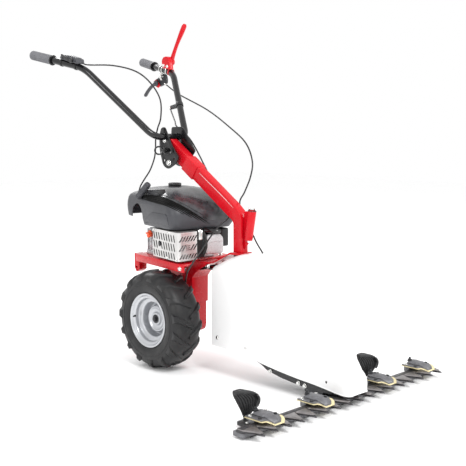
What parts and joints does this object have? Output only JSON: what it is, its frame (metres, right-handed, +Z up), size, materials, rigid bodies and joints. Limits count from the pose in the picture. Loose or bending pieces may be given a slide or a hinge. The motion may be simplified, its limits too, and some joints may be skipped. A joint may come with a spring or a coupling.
{
  "type": "brush mower",
  "caption": "Walk-behind brush mower with a reciprocating sickle bar in front, a petrol engine over the drive wheel and a raised handlebar with control levers.",
  "frame": {"origin": "on the ground under the middle of the whole machine", "axes": "+Z up, +Y from the cutter bar back to the handlebar grips, +X to the side away from the drive wheel"},
  "size_m": [0.8704, 1.312, 1.1797],
  "materials": {
    "red_paint": "gloss",
    "black_paint": "gloss",
    "dark_steel": "satin",
    "black_plastic": "satin",
    "grip_rubber": "matte",
    "belt_rubber": "matte",
    "tyre_rubber": "matte",
    "silver_paint": "satin",
    "bare_steel": "satin",
    "zinc_plate": "satin",
    "bronze": "satin",
    "cast_aluminium": "rough cast",
    "white_plastic": "gloss",
    "orange_plastic": "gloss"
  },
  "bodies": {
    "machine": {"leg_housing": "red_paint", "leg_cover": "red_paint", "axle_bearing_near": "bare_steel", "axle_bearing_far": "bare_steel", "main_frame": "red_paint", "engine_plate": "red_paint", "column": "red_paint", "socket_tube": "red_paint", "crankcase": "cast_aluminium", "air_intake": "black_plastic", "muffler_guard": "zinc_plate", "muffler": "bare_steel", "shroud": "black_plastic", "cutter_belt": "belt_rubber", "shaft_housing": "dark_steel", "arm_plate_near": "dark_steel", "arm_plate_far": "dark_steel", "arm_head": "dark_steel", "bar_carrier": "dark_steel", "back_bar": "dark_steel", "finger_comb": "bare_steel", "presser_1": "zinc_plate", "presser_2": "zinc_plate", "presser_3": "zinc_plate", "presser_4": "zinc_plate", "swath_plate_1": "dark_steel", "swath_plate_2": "dark_steel", "hood": "white_plastic", "adjuster_plate_near": "dark_steel", "adjuster_plate_far": "dark_steel", "tilt_pin": "dark_steel", "throttle_cable": "black_plastic", "cutter_cable": "black_plastic", "drive_cable": "black_plastic", "starter_rope": "black_plastic"},
    "wheel": {"tyre": "tyre_rubber", "wheel_rim": "silver_paint", "wheel_axle": "bare_steel", "hub_bolt": "dark_steel", "worm_wheel": "bronze"},
    "worm": {"worm_shaft": "bare_steel"},
    "crank": {"crankshaft": "bare_steel"},
    "cutter_drive": {"cutter_shaft": "bare_steel", "cutter_pulley": "bare_steel"},
    "knife_body": {"knife": "bare_steel"},
    "rocker": {"rocker_lever": "bare_steel"},
    "handlebar_body": {"handlebar": "black_paint", "grip_near": "grip_rubber", "grip_far": "grip_rubber", "throttle_box": "black_plastic", "clutch_bracket": "red_paint", "drive_bracket": "dark_steel"},
    "clutch_hand_lever": {"clutch_lever": "red_paint"},
    "drive_hand_lever": {"drive_lever": "black_plastic"},
    "throttle_hand_lever": {"throttle_lever": "black_plastic"},
    "starter": {"starter_handle": "black_plastic"},
    "fuel_filler_cap": {"fuel_cap": "black_plastic"},
    "oil_filler_cap": {"oil_cap": "orange_plastic"}
  },
  "joints": [
    {"name": "wheel_spin", "type": "hinge", "parent": "machine", "child": "wheel", "pos_m": [-0.138, 0.088, 0.165], "axis": [1, 0, 0], "continuous": true},
    {"name": "worm_spin", "type": "hinge", "parent": "machine", "child": "worm", "pos_m": [0, 0.127, 0.2], "axis": [0, 0, 1], "continuous": true},
    {"name": "crank_spin", "type": "hinge", "parent": "machine", "child": "crank", "pos_m": [0, 0.127, 0.4], "axis": [0, 0, 1], "continuous": true},
    {"name": "cutter_spin", "type": "hinge", "parent": "machine", "child": "cutter_drive", "pos_m": [0, -0.212, 0.2], "axis": [0, 0, 1], "continuous": true},
    {"name": "knife_slide", "type": "slide", "parent": "machine", "child": "knife_body", "axis": [1, 0, 0], "range_m": [-0.0256, 0.0256]},
    {"name": "rocker_swing", "type": "hinge", "parent": "machine", "child": "rocker", "pos_m": [0, -0.382, 0.08], "axis": [0, 0, 1], "range_deg": [-8, 8]},
    {"name": "handlebar_tilt", "type": "hinge", "parent": "machine", "child": "handlebar_body", "pos_m": [0, 0.188, 0.765], "axis": [1, 0, 0], "range_deg": [-20, 20], "deforming": ["throttle_cable", "cutter_cable", "drive_cable"]},
    {"name": "clutch_lever_turn", "type": "hinge", "parent": "handlebar_body", "child": "clutch_hand_lever", "pos_m": [0.2145, 0.432, 1.043], "axis": [1, 0, 0], "range_deg": [-55, 0]},
    {"name": "drive_lever_squeeze", "type": "hinge", "parent": "handlebar_body", "child": "drive_hand_lever", "pos_m": [0.205, 0.513, 0.966], "axis": [1, 0, 0], "range_deg": [0, 35], "stiffness_Nm_per_rad": 0.8, "springref_deg": -11.46},
    {"name": "throttle_lever_turn", "type": "hinge", "parent": "handlebar_body", "child": "throttle_hand_lever", "pos_m": [-0.2356, 0.43, 1.025], "axis": [1, 0, 0], "range_deg": [-20, 25]},
    {"name": "starter_pull", "type": "slide", "parent": "machine", "child": "starter", "axis": [-0.7585, 0.3983, 0.5158], "range_m": [0, 0.5], "stiffness_N_per_m": 60, "springref_m": -0.05, "deforming": ["starter_rope"]},
    {"name": "fuel_cap_turn", "type": "hinge", "parent": "machine", "child": "fuel_filler_cap", "pos_m": [0.00286, 0.16933, 0.5958], "axis": [0, 0, 1], "range_deg": [0, 180]},
    {"name": "oil_cap_turn", "type": "hinge", "parent": "machine", "child": "oil_filler_cap", "pos_m": [-0.07458, 0.20419, 0.4305], "axis": [-0.9232, 0.1962, 0.3304], "range_deg": [0, 180]}
  ],
  "couplings": [
    {"joint": "worm_spin", "follows": "wheel_spin", "ratio": -30},
    {"joint": "cutter_spin", "follows": "crank_spin", "ratio": 0.6736},
    {"joint": "rocker_swing", "follows": "knife_slide", "rad_per_m": 5.2632}
  ]
}
